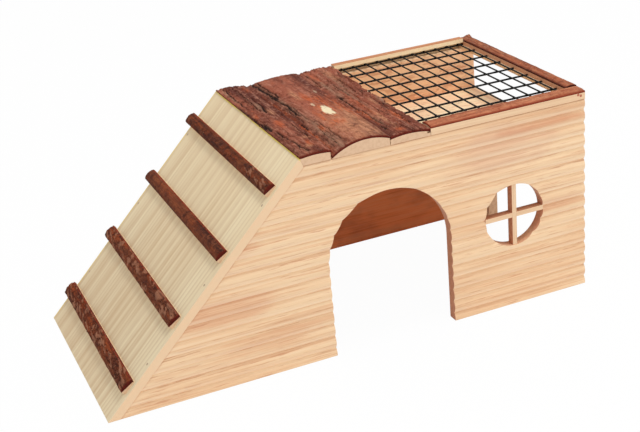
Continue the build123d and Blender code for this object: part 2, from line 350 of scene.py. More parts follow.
def pine(name, s):
    f = Finish(name, specular=0.22)
    limits = pineLimits
    turned = f.mapped(f.place, turn=s["turn"], shift=s.get("shift", (0, 0, 0)))
    # slow wander of the rings, stretched along the grain
    wander = f.grain(turned, (s["stretch"], 26, 26), detail=2.0, rough=0.5)
    axes = f.split(turned)
    across = f.math("MULTIPLY_ADD", axes["Y"], s["slant"], axes["Z"])
    rings = f.math("MULTIPLY_ADD", across, 1 / (s["ring"] * mm), f.times(wander, s["wander"]))
    late = f.math("FRACT", rings)
    line = f.times(f.spread(late, *limits["darkening"]), f.spread(late, *limits["ending"]))
    # some rings are strong and others hardly show
    strength = f.grain(turned, (s["stretch"] * 1.6, 60, 60), shift=(3, 1, 2))
    line = f.times(line, f.spread(strength, s["calm"], s["calm"] + limits["strength"]))
    noises = {key: f.grain(turned, **settings) for key, settings in pineNoise.items()}
    base = f.mix(f.spread(noises["cloud"], *limits["cloud"]), s["pale"], s["warm"])
    base = f.mix(f.times(line, s["streak"]), base, s["dark"])
    for key, limit, amount, tone in (
        ("vein", "vein", s["vein"], s["dark"]),
        ("vein", "gap", s["vein"] * 0.7, s["bright"]),
        ("fibre", "fibre", s["fibre"], s["dark"]),
        ("fleck", "fleck", s["fleck"], s["deep"]),
    ):
        base = f.mix(f.times(f.spread(noises[key], *limits[limit]), amount), base, tone)
    for spot, tone, amount in s.get("spots", []):
        mask = f.times(area(f, spot), f.spread(noises["vein"], 0.3, 0.62, amount * 0.4, amount))
        base = f.mix(mask, base, tone)
    # sawn ends across the grain
    end = f.spread(f.math("ABSOLUTE", f.looking(s["alongGrain"])), *limits["end"])
    pores = f.noise(f.place, scale=420.0, detail=2.0)
    base = f.mix(end, base, f.mix(f.spread(pores, *limits["pores"]), s["endPale"], s["endDark"]))
    for extra in s["extras"]:
        base = extra(f, base)
    f.colour(base)
    f.roughness(f.spread(noises["fibre"], 0.2, 0.9, 0.6, 0.75))
    height = f.math("ADD", f.times(noises["fibre"], 0.6), f.times(line, -0.5))
    f.bump(height, strength=0.18, distance=0.0002)
    return f.mat


def inside(s):
    # tones of the face that looks into the house, over the loft's floor and in the room below it; the
    # darker tone below the floor is painted shade
    def add(f, base):
        height = f.times(f.split(f.place)["Z"], 1 / mm)
        cloud = f.grain(f.place, (16, 30, 34), detail=4.0)
        # painted shade below the loft's floor, darker again in clouds
        shadedRoom = f.mix(f.spread(cloud, 0.40, 0.62), s["shadedRoom"], f.mix(0.5, s["shadedRoom"], s["roomShadow"]))
        fleck = f.grain(f.place, (50, 50, 190), detail=4.0, rough=0.65, warp=0.6, shift=(2, 0, 1))
        loft = f.mix(f.spread(fleck, 0.52, 0.62, 0.0, 0.5), s["loft"], s["loftFleck"])
        tone = f.mix(f.spread(height, *s["floor"]), shadedRoom, loft)
        grain = f.grain(f.place, (9, 300, 260), detail=4.0, rough=0.7)
        tone = f.mix(f.spread(grain, 0.50, 0.66, 0.0, 0.5), tone, f.mix(0.5, tone, s["grain"]))
        broken = f.spread(grain, 0.35, 0.65, s["amount"] * 0.85, s["amount"])
        return f.mix(f.times(f.spread(f.looking((0, -1, 0)), 0.6, 0.9), broken), base, tone)

    return add


def band(axis, start, end, tone, amount):
    # tone that sets in between two places along an axis, in millimetres
    def add(f, base):
        place = f.times(f.split(f.place)[axis], 1 / mm)
        return f.mix(f.times(f.spread(place, start, end), amount), base, tone)

    return add


def seam(way, place, width, tone, amount):
    # thin line along the plane at a place along a direction, in millimetres
    def add(f, base):
        run = f.times(f.vector("DOT_PRODUCT", f.place, way), 1 / mm)
        away = f.math("ABSOLUTE", f.math("SUBTRACT", run, place))
        broken = f.grain(f.place, (50, 50, 50), detail=2.0)
        line = f.times(f.spread(away, 0.0, width, 1.0, 0.0), f.spread(broken, 0.3, 0.6, 0.5, 1.0))
        return f.mix(f.times(line, amount), base, tone)

    return add


def facing(way, tone, amount, start=0.6, end=0.9):
    # tone on the faces that look one way, or on those that look across it where start is over end
    def add(f, base):
        turned = f.looking(way)
        if start > end:
            turned = f.math("ABSOLUTE", turned)
        grain = f.grain(f.place, (30, 400, 400))
        mask = f.times(f.spread(turned, start, end), f.spread(grain, 0.3, 0.7, amount * 0.8, amount))
        return f.mix(mask, base, tone)

    return add


def stripes(s):
    # growth rings across the ramp: each sets in sharply and fades slowly towards the back
    def add(f, base):
        bend = f.grain(f.place, (9, 30, 9), detail=2.0, rough=0.5)
        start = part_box("ramp_board")[0].y / mm / s["depth"]
        run = f.math("MULTIPLY_ADD", f.split(f.place)["Y"], 1 / (s["depth"] * mm), -start)
        run = f.math("ADD", run, f.math("MULTIPLY_ADD", bend, s["bend"], -s["bend"] / 2))
        stops = []
        for place in s["places"]:
            at = place / s["depth"]
            stops += [(at - s["edge"], (0, 0, 0, 1)), (at, (1, 1, 1, 1))]
        broken = f.grain(f.place, (16, 60, 16))
        mask = f.times(f.ramp(run, stops), f.spread(broken, 0.3, 0.65, 0.3, s["amount"]))
        return f.mix(mask, base, s["tone"])

    return add


diagonal = 0.7071  # both parts of a direction at 45 degrees

frontPine = {
    "turn": (0, 0, 0),
    "alongGrain": (1, 0, 0),
    "ring": 6.4,
    "slant": 0.35,
    "stretch": 2.6,
    "wander": 4.6,
    "calm": 0.44,
    "streak": 0.30,
    "vein": 0.50,
    "fibre": 0.24,
    "fleck": 0.50,
    "pale": shade(243, 210, 170),
    "warm": shade(237, 198, 157),
    "bright": shade(248, 222, 188),
    "dark": shade(216, 162, 122),
    "deep": shade(190, 120, 84),
    "endPale": shade(216, 158, 128),
    "endDark": shade(190, 126, 98),
    "spots": [
        (((113, -78, 122), (60, 20, 24)), shade(222, 176, 144), 0.75),
        (((152, -78, 134), (48, 20, 6)), shade(208, 140, 104), 0.6),
        (((-96, -78, 56), (48, 20, 16)), shade(212, 146, 112), 0.4),
        (((-60, -78, 26), (50, 20, 10)), shade(216, 158, 122), 0.35),
        (((154, -78, 72), (34, 20, 8)), shade(212, 150, 112), 0.45),
        (((-90, -78, 100), (30, 20, 16)), shade(216, 156, 122), 0.4),
    ],
    "extras": [
        # painted light: faces that look partly down, the lower flanks of the ripples, are lightened
        # against their shade
        facing((0, 0, -1), shade(255, 232, 202), 0.50, 0.05, 0.55),
        # painted shade: faces that look straight down, the tops of the doorway and the window, are
        # darkened
        facing((0, 0, -1), shade(222, 164, 118), 0.55, 0.80, 0.95),
        facing((0, 1, 0), shade(222, 152, 116), 0.65, 0.5, 0.3),
        seam((0, 0, 1), 145.0, 1.3, shade(150, 86, 56), 0.8),
        seam((diagonal, 0, -diagonal), -124.28, 1.5, shade(196, 130, 96), 0.4),
    ],
}

backPine = dict(
    frontPine,
    shift=(0.31, 0.2, 0.11),
    spots=[],
    extras=[
        # painted light: faces that look partly down, the lower flanks of the ripples, are lightened
        # against their shade
        facing((0, 0, -1), shade(255, 232, 202), 0.50, 0.05, 0.55),
        # painted shade on the inner face below the loft's floor
        inside({
            "floor": (96.0, 118.0), "amount": 0.95,
            "loft": shade(250, 207, 166), "loftFleck": shade(184, 104, 62),
            "shadedRoom": shade(242, 128, 67), "roomShadow": shade(150, 52, 22), "grain": shade(150, 70, 36),
        }),
    ],
)

endPine = dict(
    frontPine,
    turn=(0, 0, 90),
    alongGrain=(0, 1, 0),
    shift=(0.12, 0.4, 0.3),
    pale=shade(252, 224, 188),
    warm=shade(248, 212, 174),
    endPale=shade(226, 184, 146),
    endDark=shade(204, 160, 124),
    spots=[],
    extras=[],
)

rampPine = {
    "turn": (0, 45, 0),
    "alongGrain": (diagonal, 0, diagonal),
    "ring": 4.3,
    "slant": 1.0,
    "stretch": 2.0,
    "wander": 1.6,
    "calm": 0.36,
    "streak": 0.42,
    "vein": 0.16,
    "fibre": 0.16,
    "fleck": 0.10,
    "pale": shade(232, 214, 178),
    "warm": shade(226, 205, 168),
    "bright": shade(234, 219, 184),
    "dark": shade(197, 164, 126),
    "deep": shade(176, 136, 98),
    "endPale": shade(236, 212, 120),
    "endDark": shade(214, 184, 100),
    "extras": [
        stripes({
            "places": (24, 33, 41, 49, 59, 67, 76, 86, 97, 108, 128, 146, 163),
            "depth": 166.0, "edge": 0.014, "bend": 0.035, "amount": 0.70, "tone": shade(199, 166, 127),
        }),
        band("Z", 40.0, 145.0, shade(250, 228, 186), 0.25),
        facing((0, -1, 0), shade(240, 204, 166), 0.95),
        seam((0, 1, 0), 79.4, 0.8, shade(240, 214, 110), 0.8),
        seam((diagonal, 0, diagonal), 82.4, 1.3, shade(236, 206, 84), 1.0),
    ],
}

trimPine = dict(
    frontPine,
    ring=4.0,
    streak=0.22,
    vein=0.25,
    fleck=0.12,
    wander=1.6,
    pale=shade(240, 210, 172),
    warm=shade(236, 200, 162),
    dark=shade(212, 166, 126),
    endPale=shade(224, 190, 156),
    endDark=shade(212, 176, 142),
    spots=[],
    extras=[],
)

slabPine = dict(
    trimPine,
    turn=(0, 0, 90),
    alongGrain=(0, 1, 0),
    endPale=shade(226, 190, 156),
    endDark=shade(216, 178, 144),
)

endBattenPine = dict(slabPine, pale=shade(204, 150, 117), warm=shade(188, 130, 98))

backBattenPine = dict(
    trimPine,
    pale=shade(248, 222, 186),
    warm=shade(244, 214, 176),
    extras=[
        facing((0, 0, 1), shade(176, 100, 49), 0.95),
        # painted light: the face that looks to the front is lightened against the shade it lies in
        facing((0, -1, 0), shade(255, 232, 190), 0.95),
    ],
)

levelBarPine = dict(
    trimPine,
    # painted shade: the sides that look left and the tops are darkened
    extras=[facing((-1, 0, 0), shade(196, 118, 82), 0.9), facing((0, 0, 1), shade(178, 108, 74), 0.9)],
)

uprightBarPine = dict(levelBarPine, turn=(0, 90, 0), alongGrain=(0, 0, 1))


def makeCadFinishes():
    pines = {
        "frontPine": frontPine,
        "backPine": backPine,
        "endPine": endPine,
        "rampPine": rampPine,
        "trimPine": trimPine,
        "slabPine": slabPine,
        "endBattenPine": endBattenPine,
        "backBattenPine": backBattenPine,
        "levelBarPine": levelBarPine,
        "uprightBarPine": uprightBarPine,
    }
    mats = {name: pine(name, s) for name, s in pines.items()}
    mats["plyFace"] = plyFace()
    mats["blackWire"] = blackWire()
    mats["nailSteel"] = nailSteel("nailSteel", 0.2, shade(172, 144, 116), shade(196, 170, 140))
    mats["rustyNail"] = nailSteel("rustyNail", 0.0, shade(150, 66, 44), shade(206, 124, 96))
    wears = {
        "frontPine": ["front_panel"],
        "backPine": ["back_panel"],
        "endPine": ["end_wall"],
        "rampPine": ["ramp_board"],
        "trimPine": ["front_batten", "loft_rail_front", "loft_rail_back"],
        "slabPine": [
            "roof_slab_1", "roof_slab_2", "roof_slab_3", "end_lath",
            "ramp_rung_1", "ramp_rung_2", "ramp_rung_3", "ramp_rung_4",
        ],
        "endBattenPine": ["end_batten"],
        "backBattenPine": ["back_batten"],
        "levelBarPine": ["window_bar_level"],
        "uprightBarPine": ["window_bar_upright"],
        "plyFace": ["loft_floor", "loft_strip", "loft_wall"],
        "blackWire": ["mesh_long_wires", "mesh_cross_wires"],
        "nailSteel": ["ramp_nails", "slab_nails"],
        "rustyNail": ["batten_nails"],
    }
    for finish, names in wears.items():
        for name in names:
            for slot in nodes[name].material_slots:
                slot.material = mats[finish]
    return mats


def plyFace():
    f = Finish("plyFace", specular=0.2, roughness=0.7)
    speck = f.grain(f.place, (120, 700, 400), rough=0.7)
    cloud = f.grain(f.place, (20, 60, 40), rough=0.5)
    base = f.mix(f.spread(cloud, 0.3, 0.7), shade(255, 233, 194), shade(250, 210, 172))
    base = f.mix(f.times(f.spread(speck, 0.50, 0.75), 0.6), base, shade(168, 104, 66))
    f.colour(base)
    f.bump(speck, strength=0.2, distance=0.0002)
    return f.mat


def blackWire():
    f = Finish("blackWire", specular=0.18)
    coat = f.noise(f.place, scale=900.0, detail=2.0)
    f.colour(f.mix(coat, shade(6, 6, 7), shade(20, 20, 21)))
    f.bump(coat, strength=0.25, distance=0.0001)
    return f.mat


def nailSteel(name, metallic, dark, light):
    f = Finish(name, specular=0.4, roughness=0.5)
    f.shader.inputs["Metallic"].default_value = metallic
    mark = f.noise(f.place, scale=1500.0, detail=2.0)
    f.colour(f.mix(mark, dark, light))
    f.bump(mark, strength=0.3, distance=0.0001)
    return f.mat


# bark


def bark(name, s):
    # fibres run along Y of the object, or along X where alongX is set
    f = Finish(name, specular=0.15)
    stretch = (26, 260, 260) if s["alongX"] else (260, 26, 260)
    fine = (110, 1500, 1500) if s["alongX"] else (1500, 110, 1500)
    broad = f.grain(f.place, [v * 0.22 for v in stretch], detail=4.0, warp=0.4)
    streak = f.grain(f.place, stretch, detail=5.0, rough=0.68, warp=0.5)
    hair = f.grain(f.place, fine, rough=0.7)
    turned = f.mapped(f.place, [v * s["flecks"] for v in stretch], turn=(0, 0, 24))
    flecks = f.noise(turned, detail=4.0, rough=0.72, warp=1.0)
    patchy = f.noise(f.place, scale=210.0, detail=5.0, rough=0.68, warp=0.8)

    def broken(key, least, low=0.36, high=0.62):
        # an attribute that the fibres break up
        return f.times(f.attribute(key), f.spread(streak, low, high, least, 1.0))

    base = f.mix(f.spread(broad, 0.36, 0.64), s["dark"], s["body"])
    base = f.mix(f.spread(streak, 0.48, 0.70, 0.0, s["streak"]), base, s["light"])
    for mask, amount, tone in (
        (broken("tan", 0.55), 0.75, "tan"),
        (broken("dusk", 0.6), 0.50, "dark"),
        (broken("grey", 0.35), 0.80, "grey"),
        (broken("fresh", 0.20, 0.40, 0.58), 0.78, "fresh"),
    ):
        base = f.mix(f.times(mask, amount), base, s[tone])
    for value, low, high, amount, tone in (
        (patchy, 0.53, 0.64, s["mottle"], "dark"),
        (patchy, 0.46, 0.35, s["mottle"] * 0.75, "light"),
        (flecks, 0.60, 0.72, s["mottle"], "fresh"),
        (hair, 0.50, 0.72, 0.45, "dark"),
        (hair, 0.46, 0.26, 0.40, "light"),
    ):
        base = f.mix(f.spread(value, low, high, 0.0, amount), base, s[tone])
    base = f.mix(f.times(broken("chip", 0.30, 0.36, 0.56), 0.85), base, s["chip"])
    for key in ("bare", "rim", "crack"):
        base = f.mix(f.attribute(key), base, s[key])
    f.colour(base)
    f.roughness(f.spread(streak, 0.3, 0.7, 0.75, 0.95))
    relief = f.math("MULTIPLY_ADD", patchy, 0.8, f.math("MULTIPLY_ADD", hair, 0.4, streak))
    f.bump(relief, strength=1.0, distance=0.0016)
    return f.mat


barkTones = {
    "alongX": False,
    "streak": 0.65,
    "mottle": 0.62,
    "flecks": 1.7,
    "dark": shade(92, 42, 30),
    "body": shade(160, 88, 65),
    "light": shade(200, 138, 113),
    "tan": shade(206, 144, 106),
    "grey": shade(160, 122, 98),
    "fresh": shade(198, 92, 46),
    "chip": shade(172, 136, 114),
    "bare": shade(242, 224, 186),
    "rim": shade(104, 34, 22),
    # crack: the bark's own dark in cracks, crevices and fissures, deepened with painted shade
    "crack": shade(30, 16, 13),
}

rungTones = dict(
    barkTones,
    mottle=0.8,
    flecks=0.75,
    dark=shade(62, 26, 16),
    body=shade(116, 58, 34),
    light=shade(142, 80, 50),
    tan=shade(190, 70, 44),
    fresh=shade(168, 74, 32),
    chip=shade(160, 108, 82),
    rim=shade(96, 28, 18),
)

battenTones = dict(
    barkTones,
    alongX=True,
    streak=0.85,
    mottle=0.5,
    dark=shade(132, 54, 32),
    body=shade(190, 108, 76),
    light=shade(216, 148, 108),
    tan=shade(212, 144, 104),
    grey=shade(160, 110, 84),
    # rim: the bark's own dark edge, deepened with painted shade along the front side
    rim=shade(140, 56, 34),
)

endTones = dict(
    barkTones,
    streak=0.8,
    mottle=0.6,
    dark=shade(100, 42, 26),
    body=shade(168, 88, 56),
    light=shade(198, 126, 90),
    tan=shade(186, 116, 82),
    # rim: the bark's own dark edge, deepened with painted shade along the side that looks towards the
    # mesh
    rim=shade(72, 18, 10),
)


def unit(value):
    return max(0.0, min(1.0, value))


def bell(value, width):
    # 1 where the value is 0, next to nothing from twice the width on
    return math.exp(-((value / width) ** 2))


def nearness(away, reach):
    # 1 at no distance, 0 from the reach on
    return max(0.0, 1 - away / reach)


def dip(away, shape):
    # how far the bark sinks at an edge, from the depth there and the reach
    depth, reach = shape
    return depth * nearness(away, reach) ** 2


def wobble(x, y, z):
    return noise.noise(Vector((x, y, z)))


def fbm(x, y, z, octaves=3):
    return noise.fractal(Vector((x, y, z)), 1.0, 2.0, octaves)


def ripple(x, y, seed, wave, octaves=3):
    # noise from its waves per millimetre across and along, and its height
    across, along, height = wave
    return height * fbm(x * across, y * along, seed, octaves)


def ridges(x, y, seed, s):
    # two sizes of ridges along the bark
    return ripple(x, y, seed, s["broad"], 4) + ripple(x, y, seed + 3, s["middle"])


def drifting(x, y, seed, wave, octaves=3):
    # noise from its waves per millimetre across and along, with a drift across on the way along
    across, drift, along = wave
    return fbm(x * across + y * drift, y * along, seed, octaves)


def fissure(x, y, seeds, s):
    # 1 on the lines where a noise passes 0, in some stretches of the bark only
    line = bell(drifting(x, y, seeds[0], s["wave"], s["octaves"]), s["width"])
    across, along = s["stretches"]
    return line * unit(s["share"] + s["gain"] * wobble(x * across, y * along, seeds[1]))


# bends and jags have their waves per millimetre and how far they reach
cuts = {
    "overrun": 0.05,  # share of its length that a cut reaches past its ends
    "bends": (0.16, 0.9),
    "jags": (0.7, 0.5),
    "taper": 7.0,
    "tip": 0.12,
    "swelling": (0.4, 0.75, 0.6),  # waves per millimetre, mean and change of the width
    "least": 0.05,
}


def cutLine(x, y, crack):
    # closeness of a point to a jagged cut, 1 on it and 0 away from it
    x0, y0, x1, y1, width = crack
    t = (y - y0) / (y1 - y0)
    over = cuts["overrun"]
    if t < -over or t > 1 + over:
        return 0.0
    (bendWave, bend), (jagWave, jag) = cuts["bends"], cuts["jags"]
    wave = bend * wobble(y * bendWave, x0, 3.0) + jag * wobble(y * jagWave, x0, 9.0)
    ends = max(cuts["tip"], min(1.0, cuts["taper"] * min(t + over, 1 + over - t)))
    swellWave, mean, change = cuts["swelling"]
    wide = width * ends * (mean + change * wobble(y * swellWave, x1, 5.0))
    away = x - (x0 + (x1 - x0) * t) - wave
    return bell(away, max(wide, cuts["least"]))


patches = {"rough": (0.5, 0.14, 0.45), "edge": 1.35, "fade": 0.9}


def patch(x, y, spot):
    # 1 inside a soft oval, 0 outside it
    cx, cy, rx, ry = spot
    away = math.hypot((x - cx) / rx, (y - cy) / ry) + ripple(x, y, cx, patches["rough"])
    return unit((patches["edge"] - away) / patches["fade"])


def best(values):
    return max(values) if values else 0.0


def arc(left, crown, right):
    # circle through three points, as a function of 0 to 1 from left to right
    (ax, ay), (bx, by), (cx, cy) = left, crown, right
    d = 2 * (ax * (by - cy) + bx * (cy - ay) + cx * (ay - by))
    ux = ((ax**2 + ay**2) * (by - cy) + (bx**2 + by**2) * (cy - ay) + (cx**2 + cy**2) * (ay - by)) / d
    uy = ((ax**2 + ay**2) * (cx - bx) + (bx**2 + by**2) * (ax - cx) + (cx**2 + cy**2) * (bx - ax)) / d
    radius = math.hypot(ax - ux, ay - uy)
    first = math.atan2(ay - uy, ax - ux)
    last = math.atan2(cy - uy, cx - ux)

    def at(t):
        angle = first + (last - first) * t
        return Vector((ux + math.cos(angle) * radius, uy + math.sin(angle) * radius))

    return at


def domed(width, heights, crown, left=0.0):
    return arc((left, heights[0]), (left + width * crown, heights[1]), (left + width, heights[2]))


leastBark = 0.15  # millimetres of bark that stay under a crack
toneKeys = ("crack", "grey", "fresh", "tan", "dusk", "chip", "bare", "rim")


def sheet(node, finish, width, length, pitch):
    # what shell needs to know of a piece, with a grid that follows its size
    across, along = int(width / pitch), int(length / pitch)
    return {"node": node, "finish": finish, "length": length, "across": across, "along": along}


def shell(name, s, outer, inner, put, marks, trimAt=None):
    # closed sheet between two section curves, run along its length; marks gives relief and tones
    bm = bmesh.new()
    bmesh.ops.create_grid(bm, x_segments=s["across"], y_segments=s["along"], size=0.5)
    layers = {key: bm.verts.layers.float.new(key) for key in toneKeys}
    under = set(bm.verts)
    bmesh.ops.extrude_face_region(bm, geom=bm.faces[:])
    length = s["length"]
    for v in bm.verts:
        t, u = v.co.x + 0.5, v.co.y + 0.5
        side, trim = trimAt(t, u * length) if trimAt else (0.0, 0.0)
        tones = {"rim": 1.0}
        if v in under:
            point = inner(t, u)
        else:
            point = outer(t, u)
            relief, tones = marks(t, u * length)
            point = Vector((point.x, max(point.y + relief, inner(t, u).y + leastBark)))
        for key, layer in layers.items():
            v[layer] = unit(tones.get(key, 0.0))
        v.co = put(Vector((point.x + side, point.y)), u * length + trim)
    bmesh.ops.recalc_face_normals(bm, faces=bm.faces)
    for face in bm.faces:
        face.smooth = True
    obj = meshObject(name, bm, s["finish"])
    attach(obj, "root")
    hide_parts(s["node"])


# roof slabs, in millimetres from the slab's left edge and from the front: front and back give the
# heights of the left edge, the crown and the right edge; a crack has two ends and a width, and a
# patch has a middle and two radii

slabs = {
    1: dict(
        front=(5.1, 5.8, 5.0), back=(5.1, 5.3, 3.6), crown=0.50, lean=0.364,
        lift=0.15, rough=1.0, ragged=0.3, spill=1.25, calm=[(12, 66, 7, 20)],
        cracks=[
            (4.8, 164, 4.0, 110, 0.8), (15.6, 115, 12.8, 92, 1.0), (12.0, 146, 10.6, 98, 0.4),
            (0.9, 114, 1.2, 58, 1.2), (4.6, 52, 6.2, 28, 0.9), (6.2, 30, 9.0, 4, 1.25),
            (2.8, 70, 2.2, 54, 1.5), (18.5, 60, 19.5, 20, 0.3), (9.0, 128, 9.6, 112, 0.3),
        ],
        grey=[(3.0, 140, 1.2, 26), (13.2, 108, 1.4, 10), (3.2, 62, 1.4, 6), (7.4, 16, 0.8, 12)],
        fresh=[(12, 64, 2.8, 8), (4, 88, 2.4, 5), (15, 18, 2, 5), (18, 150, 2.4, 8)],
        tan=[(16, 92, 2, 7), (17, 30, 2.4, 3), (12.6, 13, 2.6, 3)],
        dusk=[],
        bare=[],
    ),
    2: dict(
        front=(0.4, 8.1, 4.9), back=(2.6, 5.6, 5.0), crown=0.57,
        lift=0.0, rough=0.5, ragged=0.2, spill=0.55, calm=[(27, 84, 14, 100)],
        cracks=[
            (4.9, 165, 8.8, 116, 1.5), (8.6, 164, 11.0, 118, 1.0), (6.6, 128, 8.6, 98, 1.2),
            (8.6, 104, 8.2, 74, 1.1), (6.2, 100, 6.0, 60, 0.4), (10.4, 96, 10.2, 60, 0.35),
            (3.9, 62, 3.8, 48, 1.0), (12.9, 58, 13.2, 8, 0.4), (6.0, 44, 5.4, 8, 0.3),
            (8.8, 40, 8.4, 6, 0.25), (10.9, 50, 10.8, 20, 0.25), (25.6, 27, 26.6, 23, 0.5),
            (0.5, 40, 0.7, 4, 0.8),
        ],
        grey=[(7.4, 142, 1.3, 20), (8.2, 96, 2.4, 26), (8.2, 46, 3.6, 30), (8.6, 14, 4.2, 20)],
        fresh=[
            (26.3, 68, 7.5, 17), (23.6, 100, 3.2, 12), (17.8, 62, 1.4, 18), (34.4, 68, 1.8, 7),
            (22.5, 40, 5, 6), (21.8, 84, 1.6, 7), (10.8, 40, 1.4, 8), (31, 88, 5, 16),
            (39, 70, 2, 30), (2.2, 60, 2.0, 60),
        ],
        tan=[(28, 26, 14, 40), (36, 44, 5, 30), (26, 62, 5, 16), (20, 112, 2, 14)],
        dusk=[(36, 128, 4, 20)],
        bare=[(26.3, 66, 3.9, 13.0, 1.0), (22.4, 84, 1.2, 4.6, 0.55), (35.8, 112.6, 1.1, 3.8, 0.35)],
    ),
    3: dict(
        front=(3.6, 5.0, 3.0), back=(3.8, 5.1, 4.8), crown=0.48,
        lift=0.15, rough=1.1, ragged=3.2, spill=0.0, calm=[],
        cracks=[
            (3.8, 156, 2.8, 120, 0.8), (4.2, 96, 5.2, 87, 1.7), (7.4, 87, 8.4, 84, 1.2),
            (3.8, 90, 4.6, 56, 0.8), (4.6, 58, 6.0, 24, 0.5), (2.6, 21, 4.6, 13, 1.3),
            (8.4, 14, 13.0, 11, 1.2), (14.0, 80, 16.0, 40, 0.4), (20, 140, 19, 96, 0.4),
            (28.0, 94, 29.0, 84, 1.6), (27.0, 62, 29.0, 54, 1.8), (24.4, 100, 25.0, 92, 0.8),
            (22, 60, 23, 30, 0.4), (11, 120, 12, 90, 0.4), (26, 150, 27, 130, 0.5),
        ],
        grey=[
            (6, 116, 2.4, 34), (6.4, 46, 1.6, 24), (12, 84, 1.4, 30),
            (27.5, 72, 2.0, 14), (16, 116, 1.6, 30),
        ],
        fresh=[(11.5, 8, 4, 3.6), (8, 64, 2.8, 22), (7, 146, 2, 14), (21, 30, 2.2, 14), (4, 50, 2, 20)],
        tan=[(19, 136, 3, 16), (11, 36, 1.6, 20), (20, 70, 2, 10)],
        dusk=[(18, 112, 9, 34), (23, 60, 4, 16), (9, 20, 5, 8)],
        bare=[],
    ),
}

# a ripple has its waves per millimetre across and along, and its height; a dip its depth and reach
slabSkin = {
    "pitch": 0.5,
    "thick": 1.8,
    "broad": (0.30, 0.055, 0.75),
    "middle": (1.1, 0.16, 0.28),
    "fine": (2.6, 0.30, 0.10),
    "calming": 0.8,
    "crevices": {
        "wave": (0.42, 0.02, 0.055), "octaves": 4, "width": 0.06,
        "stretches": (0.2, 0.06), "share": 0.45, "gain": 2.2,
    },
    "creviceDepth": 0.55,
    "creviceDarkAndShade": 0.75,
    "crackDepth": 1.30,
    "crackDarkAndShade": 1.2,
    "lipAside": 1.1,
    "lipHeight": 0.40,
    "lipTone": 0.55,
    "bareDepth": 0.30,
    "bareEdge": (3.0, 1.4),
    "darkStreaks": (1.5, 0.10, -1.0),
    "darkLeast": 0.42,
    "darkTone": 0.55,
    "endDip": (0.6, 1.4),
    "edgeDip": (0.5, 0.9),
    "rim": 1.1,
    "broken": 5.0,
    "bites": (0.11, 0.15),
    "backEnd": (0.35, 1.0, 1.4),
}


def slabMarks(number, s, width, depth):
    skin = slabSkin

    def marks(t, y):
        x = t * width
        calm = best([patch(x, y, spot) for spot in s["calm"]])
        rough = s["rough"] * (1 - skin["calming"] * calm)
        relief = s["lift"] + rough * ridges(x, y, number, skin)
        relief += ripple(x, y, number + 6, skin["fine"])
        crevice = fissure(x, y, (number + 12, number + 15), skin["crevices"])
        crevice *= (1 - calm) * min(1.0, s["rough"])
        relief -= skin["creviceDepth"] * crevice
        crack = max(best([cutLine(x, y, cut) for cut in s["cracks"]]), skin["creviceDarkAndShade"] * crevice)
        lip = best([cutLine(x + skin["lipAside"], y, cut) for cut in s["cracks"]])
        relief += skin["lipHeight"] * lip * (1 - crack) - skin["crackDepth"] * crack
        sharp, start = skin["bareEdge"]
        bare = best([amount * unit(sharp * patch(x, y, spot) - start) for *spot, amount in s["bare"]])
        relief -= skin["bareDepth"] * bare
        ends = min(y, depth - y)
        relief -= dip(ends, skin["endDip"])
        relief -= dip(width - x, skin["edgeDip"])
        dark = max(0.0, ripple(x, y, number + 8, skin["darkStreaks"]) - skin["darkLeast"])
        tones = {}
        for key in ("grey", "fresh", "tan", "dusk"):
            tones[key] = best([patch(x, y, spot) for spot in s[key]])
        tones["grey"] = max(tones["grey"], skin["lipTone"] * lip)
        # crack tone: the bark's own dark in cracks and crevices with painted shade, and random dark
        # streaks
        tones["crack"] = crack * skin["crackDarkAndShade"] + skin["darkTone"] * dark
        tones["bare"] = bare
        tones["rim"] = nearness(ends, skin["rim"])
        return relief, tones

    return marks


def makeSlab(number, s, finish):
    node = f"roof_slab_{number}_bark"
    low, high = [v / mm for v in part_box(node)]
    width, depth = high.x - low.x, high.y - low.y
    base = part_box("front_panel")[1].z / mm
    top = cadHigh.z / mm - 0.02

    def curve(rise):
        # section at a height over the wood, from the front end to the back end
        lean = s.get("lean", 0.0) * (s["front"][0] + rise)
        start = s.get("lean", 0.0) * (s["front"][0] + slabSkin["thick"])
        ends = [[h + base + rise for h in s[key]] for key in ("front", "back")]
        arcs = [domed(width - start, heights, s["crown"], start) for heights in ends]
        share = start / width

        def at(t, u):
            if t < share:
                return Vector((start - lean * (1 - t / share), ends[0][0]))
            over = (t - share) / (1 - share)
            return arcs[0](over).lerp(arcs[1](over), u)

        return at

    def trimAt(t, y):
        # the back end is broken off unevenly; the right edge is ragged or spills over the gap
        biteWave, share = slabSkin["bites"]
        bite = s["ragged"] * max(0.0, fbm(y * biteWave, number * 3.1, 4.0, 4) + share) - s["spill"]
        right = nearness((1 - t) * width, slabSkin["broken"]) * bite
        backWave, mean, change = slabSkin["backEnd"]
        lost = mean + change * fbm(t * width * backWave, number, 2.0)
        return -right, -nearness(depth - y, slabSkin["broken"]) * lost

    def put(point, along):
        return Vector(((low.x + point.x) * mm, (low.y + along) * mm, min(point.y, top) * mm))

    size = sheet(node, finish, width, depth, slabSkin["pitch"])
    marks = slabMarks(number, s, width, depth)
    shell(f"slabBark{number}", size, curve(slabSkin["thick"]), curve(0.0), put, marks, trimAt)


# rungs on the ramp, from the lowest to the highest; heights from the down-slope side to the
# up-slope side, in millimetres

